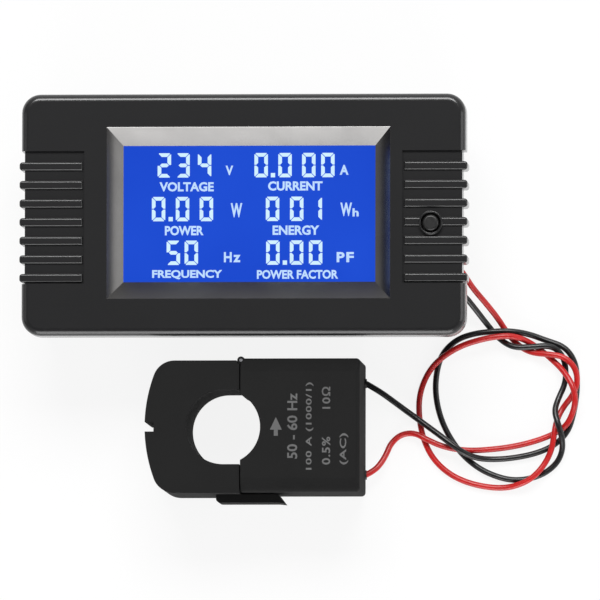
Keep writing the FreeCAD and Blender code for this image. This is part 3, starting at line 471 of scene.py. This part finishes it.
def fitted_text(shape, text, low_x, low_y, wide, high, low_z, high_z, turned=False,
                bold=WORD_BOLD, spread=1.0):
    """Adds a word, scaled to a box in millimetres, to the mesh under way."""
    mesh = text_mesh(text, bold, spread)
    xs = [v.co.x for v in mesh.vertices]
    ys = [v.co.y for v in mesh.vertices]
    across = max(xs) - min(xs)
    up = max(ys) - min(ys)
    for vertex in mesh.vertices:
        x = (vertex.co.x - min(xs)) / across * wide
        y = (vertex.co.y - min(ys)) / up * high
        z = high_z if vertex.co.z > 0 else low_z
        if turned:
            vertex.co = Vector((low_x - y, low_y + x, z)) * MM
        else:
            vertex.co = Vector((low_x + x, low_y + y, z)) * MM
    shape.from_mesh(mesh)
    bpy.data.meshes.remove(mesh)


def display_words():
    shape = bmesh.new()
    for text, left, right, foot, high in WORDS:
        fitted_text(shape, text, display_x(left), display_y(foot),
                    (right - left) / DISPLAY_PIXELS_PER_MM, high / DISPLAY_PIXELS_PER_MM,
                    DISPLAY_TOP, DISPLAY_TOP + WORD_LIFT)
    bmesh.ops.remove_doubles(shape, verts=shape.verts, dist=WELD)
    mesh = bpy.data.meshes.new("display_words")
    shape.to_mesh(mesh)
    shape.free()
    to_object("display_words", mesh, word_light, METER)


# Generic marks on the transformer, which run upwards: text, pixel across of its foot line,
# pixels down of its start and end, height in pixels, letter spacing
CT_MARKS = [
    ("50 - 60 Hz", 297.6, 459.0, 393.5, 10.4, 1.0),
    ("100 A (1000/1)", 313.6, 470.0, 382.5, 7.6, 1.1),
    ("10\u03a9", 330.6, 409.0, 387.0, 8.6, 1.1),
    ("0.5%", 330.6, 465.0, 437.0, 8.4, 1.1),
    ("(AC)", 348.6, 465.0, 433.5, 8.6, 1.1),
]
MARK_LIFT = 0.015
MARK_BOLD = 0.02

# The arrow beside them: its corners as along and across, its place and the size of one unit
ARROW = [(0, -0.5), (0, 0.5), (0.55, 0.5), (0.55, 1.5), (1.7, 0), (0.55, -1.5), (0.55, -0.5)]
ARROW_PIXEL = (276.0, 436.0)
ARROW_LONG = 2.2
ARROW_WIDE = 0.8


def transformer_marks():
    shape = bmesh.new()
    for text, foot, start, end, high, spread in CT_MARKS:
        fitted_text(shape, text, case_x(foot), case_y(start),
                    (start - end) / CASE_PIXELS_PER_MM, high / CASE_PIXELS_PER_MM,
                    CASE_TOP, CASE_TOP + MARK_LIFT, turned=True, bold=MARK_BOLD, spread=spread)
    arrow = [(case_x(ARROW_PIXEL[0]) - across * ARROW_WIDE,
              case_y(ARROW_PIXEL[1]) + along * ARROW_LONG) for along, across in ARROW]
    mesh = slabs("arrow", [arrow[::-1]], CASE_TOP, CASE_TOP + MARK_LIFT)
    shape.from_mesh(mesh)
    bpy.data.meshes.remove(mesh)
    bmesh.ops.remove_doubles(shape, verts=shape.verts, dist=WELD)
    mesh = bpy.data.meshes.new("transformer_marks")
    shape.to_mesh(mesh)
    shape.free()
    ink = moulded("mark_ink", screen_colour(86, 86, 86), 0.6, spread=0.25)
    to_object("transformer_marks", mesh, ink, METER)


# Leads

LEAD_DIAMETER = 1.2 * MM
RED_ROUTE = [
    (38.7, -8.62, 6.1), (40.7, -8.7, 6.1), (42.5, -9.9, 6), (43.8, -11.8, 5.2), (45, -13.7, 4.3),
    (47.6, -16.7, 2.9), (49.9, -19.6, 1.35), (51.9, -22.8, 0.65), (54.2, -25.2, 0.65),
    (56.7, -26.5, 1.3), (60, -26.8, 2.3), (63.2, -27.3, 2.6), (65.4, -29.4, 2.5), (66, -32.2, 2.3),
    (65, -35, 2), (63, -37.3, 0.8), (61.7, -39.9, 1.7), (61.2, -42.8, 2.3), (60.8, -45.6, 1.9),
    (59.7, -48.2, 1.6), (57.9, -50.7, 2), (55.4, -52.6, 1.9), (51.1, -53.8, 0.65),
    (45.3, -53.1, 0.65), (40.5, -51.2, 0.65), (36.9, -48, 0.65), (34.8, -43.9, 0.65),
    (33.9, -39.1, 0.65), (34, -34.7, 0.65), (35.6, -30.6, 1.1), (38.1, -27.7, 2.1),
    (42.3, -25.1, 2.5), (47, -23.7, 3), (51.1, -23.1, 3.1), (53.7, -23.3, 2.4), (56, -24.2, 0.9),
    (58.4, -25.8, 0.65), (60.6, -27.7, 0.65), (62.9, -29.9, 2), (65, -33.1, 3.6),
    (65.6, -36.1, 3.4), (64.9, -38.8, 2), (63.6, -41.2, 1.8), (61.3, -42.7, 0.65),
    (57.5, -44.2, 0.65), (53, -45.3, 0.65), (48.4, -45.9, 0.8), (43.7, -46.2, 1.9),
    (39.2, -45.5, 2.1), (35.7, -44, 2.25), (33.1, -42.5, 1.5), (30.3, -42.8, 0.85),
    (28.3, -44.6, 0.9), (27.4, -46.9, 1.6), (26.4, -48.7, 2.4), (25.1, -50.2, 3),
    (23.4, -51.1, 3.2),
]
BLACK_ROUTE = [
    (38.7, -13.7, 6.1), (41.2, -13.9, 6), (43.2, -15, 5.1), (45.5, -17.9, 3), (47.8, -20.9, 1),
    (50.2, -23.8, 0.8), (53.1, -25.5, 2), (56.8, -25.3, 2.15), (60.4, -25, 1.9), (62.6, -26.5, 1.1),
    (63.5, -29.2, 0.65), (63.4, -32.6, 0.65), (62, -35.6, 1.1), (61.2, -38.2, 2.4),
    (62.1, -41, 3.4), (62.8, -43.4, 2.7), (62.9, -46.1, 1.3), (61.6, -48.9, 0.65),
    (58.3, -51.3, 0.65), (53.1, -52.3, 0.65), (47.9, -50.8, 0.65), (43.9, -48.2, 0.65),
    (40.7, -44.5, 0.65), (38.3, -39.8, 0.65), (37.2, -34.8, 0.65), (37.4, -30.4, 0.65),
    (38.5, -26.6, 0.65), (41.4, -23.8, 1.3), (45, -22.6, 2.1), (48.9, -22.2, 2.35),
    (52.6, -22.1, 2.05), (56.2, -22.7, 1), (59.4, -23.9, 0.65), (63.3, -25.2, 0.65),
    (65.4, -28.2, 0.65), (65.8, -32, 0.65), (65.6, -35.4, 0.65), (65, -38.9, 0.65),
    (63.9, -42.4, 0.65), (61.2, -45.1, 0.65), (57.5, -46.7, 0.65), (53, -47.6, 0.65),
    (49, -47.9, 0.65), (45.6, -47.7, 1.7), (43, -46.6, 3.2), (40.7, -45, 3.5), (38.1, -43, 3),
    (35, -40.7, 2.1), (31.8, -38.4, 1.9), (28.7, -36.1, 2.2), (25.9, -34.1, 3), (23.4, -32.7, 3.2),
]


def lead(name, route, material, node):
    """A smooth round cord along a route in metres, which replaces the lead's node."""
    curve = bpy.data.curves.new(name, "CURVE")
    curve.dimensions = "3D"
    spline = curve.splines.new("NURBS")
    spline.points.add(len(route) - 1)
    for point, (x, y, z) in zip(spline.points, route):
        point.co = (x, y, z, 1)
    spline.order_u = 3
    spline.use_endpoint_u = True
    spline.resolution_u = 8
    curve.bevel_depth = LEAD_DIAMETER / 2
    curve.bevel_resolution = 5
    curve.use_fill_caps = True
    curve.materials.append(material)
    thing = bpy.data.objects.new(name, curve)
    bpy.context.scene.collection.objects.link(thing)
    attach(thing, METER)
    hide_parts(node)


# Window bevel: a satin skin over the sloping frame round the display

BEVEL_SIDE = 3.12
BEVEL_TOP = 3.5
BEVEL_DEEP = 3.2
SKIN = 0.06
SKIN_LIFT = 0.02
CORNERS = [(-1, -1), (1, -1), (1, 1), (-1, 1)]

# How far the shading normals of the side slopes turn up at their foot and down at their rim
COVE_FOOT = 0.45
COVE_RIM = -0.07


def window_bevel():
    rim = DISPLAY_TOP + BEVEL_DEEP
    inner = (VISIBLE_WIDE / 2, VISIBLE_HIGH / 2)
    outer = (inner[0] + BEVEL_SIDE, inner[1] + BEVEL_TOP)
    shape = bmesh.new()

    def ring(reach, height, inset):
        corners = []
        for side, end in CORNERS:
            x = DISPLAY_X + side * (reach[0] - inset)
            y = DISPLAY_Y + end * (reach[1] - inset)
            corners.append(shape.verts.new((x * MM, y * MM, height * MM)))
        return corners

    rings = [ring(outer, rim, 0), ring(outer, rim + SKIN_LIFT, SKIN),
             ring(inner, DISPLAY_TOP + SKIN, SKIN), ring(inner, DISPLAY_TOP, 0)]
    slopes = []
    for level, (upper, lower) in enumerate(zip(rings, rings[1:] + rings[:1])):
        for turn in range(len(CORNERS)):
            after = (turn + 1) % len(CORNERS)
            shape.faces.new((upper[turn], upper[after], lower[after], lower[turn]))
            slopes.append(level == 1)
    bmesh.ops.recalc_face_normals(shape, faces=shape.faces)
    mesh = bpy.data.meshes.new("window_bevel_skin")
    shape.to_mesh(mesh)
    shape.free()
    soften_slopes(mesh, slopes)
    to_object("window_bevel_skin", mesh, bevel_material(), METER)


def soften_slopes(mesh, slopes):
    """Turns the shading of the side slopes from rim to foot, as a slight cove does."""
    middle = sum(vertex.co.z for vertex in mesh.vertices) / len(mesh.vertices)
    normals = []
    for polygon in mesh.polygons:
        sideways = abs(polygon.normal.x) > abs(polygon.normal.y)
        for corner in polygon.vertices:
            normal = Vector(polygon.normal)
            if slopes[polygon.index] and sideways:
                normal.z += COVE_FOOT if mesh.vertices[corner].co.z < middle else COVE_RIM
            normals.append(normal.normalized())
        polygon.use_smooth = True
    mesh.normals_split_custom_set(normals)


def bevel_material():
    """Smooth satin band of the window frame, glossier than the grained face."""
    material, nodes, links, shader = new_material("bevel_satin")
    place = object_place(nodes, links)
    clouds = noise(nodes, links, place, scale=120.0, detail=3.0)
    satin = screen_colour(108, 107, 106)
    tone = ramp(nodes, links, clouds, [(0.3, shade(satin, 0.9)), (0.7, shade(satin, 1.08))])
    links.new(tone, shader.inputs["Base Color"])
    shader.inputs["Metallic"].default_value = 1.0
    shader.inputs["Roughness"].default_value = 0.25
    return material


# Floor, lights and camera

FLOOR_SIDE = 4.0
FLOOR_DROP = 0.05
FLOOR_PALE = 0.93
FLOOR_GLOW = 0.88


def stage_floor():
    """A pale floor that keeps the shadow but shows mostly its own white to the camera."""
    bpy.ops.mesh.primitive_plane_add(size=FLOOR_SIDE, location=(0, 0, -FLOOR_DROP * MM))
    floor = bpy.context.object
    floor.name = "floor"
    material, nodes, links, shader = new_material("floor_white")
    shader.inputs["Base Color"].default_value = grey(FLOOR_PALE)
    shader.inputs["Roughness"].default_value = 0.9
    shader.inputs["Specular IOR Level"].default_value = 0.1
    path = nodes.new("ShaderNodeLightPath")
    glow = nodes.new("ShaderNodeEmission")
    glow.inputs["Color"].default_value = grey(1.0)
    mix = nodes.new("ShaderNodeMixShader")
    seen = path.outputs["Is Camera Ray"]
    for ray in ("Is Glossy Ray", "Is Transmission Ray"):
        either = nodes.new("ShaderNodeMath")
        either.operation = "MAXIMUM"
        links.new(seen, either.inputs[0])
        links.new(path.outputs[ray], either.inputs[1])
        seen = either.outputs["Value"]
    share = nodes.new("ShaderNodeMath")
    share.operation = "MULTIPLY"
    share.inputs[1].default_value = FLOOR_GLOW
    links.new(seen, share.inputs[0])
    links.new(share.outputs["Value"], mix.inputs["Fac"])
    links.new(shader.outputs["BSDF"], mix.inputs[1])
    links.new(glow.outputs["Emission"], mix.inputs[2])
    links.new(mix.outputs["Shader"], nodes["Material Output"].inputs["Surface"])
    floor.data.materials.append(material)


# Soft panels, in metres: name, place, width, height and brightness
PANELS = [
    ("strip_top", (0.02, 0.85, 1.11), 1.0, 0.54, 11.0),
    ("strip_low", (0.02, -1.3, 0.5), 1.0, 1.0, 3.6),
    ("strip_right", (1.15, -0.05, 0.66), 0.5, 0.9, 1.7),
    ("strip_left", (-1.15, -0.05, 0.66), 0.4, 0.9, 0.6),
]
OVERHEAD = ("fill_overhead", (0.0, 0.0, 1.3), 1.2, 1.2, 0.15)
PANEL_AIM = (0, 0, 0.015)

# The room: its colour from the horizon to the zenith, and the factors of a polynomial in X that
# dims it at the sides, more so at the left
SKY = [(0.0, grey(0.8)), (0.3, grey(0.7)), (0.62, (0.4, 0.4, 0.41, 1)), (0.85, (0.07, 0.07, 0.073, 1))]
SKY_ACROSS = (-0.65, 0.15, 0.9)


def panel(name, place, wide, high, strength):
    light = bpy.data.lights.new(name, "AREA")
    light.shape = "RECTANGLE"
    light.size = wide
    light.size_y = high
    light.energy = strength * wide * high * math.pi
    thing = bpy.data.objects.new(name, light)
    thing.location = place
    thing.rotation_euler = (Vector(PANEL_AIM) - Vector(place)).to_track_quat("-Z", "Y").to_euler()
    thing.visible_camera = False
    bpy.context.scene.collection.objects.link(thing)
    return thing


def studio():
    world = bpy.data.worlds.new("studio")
    bpy.context.scene.world = world
    world.use_nodes = True
    nodes = world.node_tree.nodes
    links = world.node_tree.links
    background = nodes["Background"]
    place = nodes.new("ShaderNodeTexCoord")
    split = nodes.new("ShaderNodeSeparateXYZ")
    links.new(place.outputs["Generated"], split.inputs["Vector"])
    links.new(ramp(nodes, links, split.outputs["Z"], SKY), background.inputs["Color"])
    level = None
    for factor in SKY_ACROSS:
        step = nodes.new("ShaderNodeMath")
        step.operation = "MULTIPLY_ADD"
        links.new(split.outputs["X"], step.inputs[0])
        step.inputs[1].default_value = 0.0
        step.inputs[2].default_value = factor
        if level is not None:
            links.new(level, step.inputs[1])
        level = step.outputs["Value"]
    links.new(level, background.inputs["Strength"])
    for values in PANELS:
        panel(*values)
    panel(*OVERHEAD).visible_glossy = False


# The camera, three metres above the bezel's face, leaning and rolled a little
PIXELS_PER_MM = 5.01
ORIGIN_PIXEL = (242.85, 214.0)
FRAME_PIXELS = 600
FACE_Z = 24.4
LEAN_X = 0.062
LEAN_Y = -0.062
CAMERA_FAR = 3.0
CLIP_END = 10.0
ROLL = 0.0018
SENSOR = 36.0


def camera():
    wide = FRAME_PIXELS / PIXELS_PER_MM * MM
    half = FRAME_PIXELS / 2
    target = Vector(((half - ORIGIN_PIXEL[0]) / PIXELS_PER_MM * MM,
                     (ORIGIN_PIXEL[1] - half) / PIXELS_PER_MM * MM, FACE_Z * MM))
    away = Vector((LEAN_X, LEAN_Y, 1)).normalized()
    data = bpy.data.cameras.new("camera")
    data.sensor_width = SENSOR
    data.lens = SENSOR * CAMERA_FAR / wide
    data.clip_end = CLIP_END
    thing = bpy.data.objects.new("camera", data)
    thing.location = target + away * CAMERA_FAR
    level = Vector((0, 1, 0)).cross(away).normalized()
    right = (level + away.cross(level) * ROLL).normalized()
    up = away.cross(right)
    basis = thing.matrix_world.to_3x3()
    basis.col[0], basis.col[1], basis.col[2] = right, up, away
    thing.rotation_euler = basis.to_euler()
    bpy.context.scene.collection.objects.link(thing)
    bpy.context.scene.camera = thing


paint_nodes()
display_figures()
display_words()
transformer_marks()
window_bevel()
red_metres, black_metres = [[tuple(v * MM for v in point) for point in route]
                            for route in (RED_ROUTE, BLACK_ROUTE)]
lead("red_lead_cord", red_metres, materials["red_insulation"], "red_lead")
lead("black_lead_cord", black_metres, materials["black_insulation"], "black_lead")
stage_floor()
studio()
camera()
bpy.context.scene.view_settings.view_transform = "Standard"
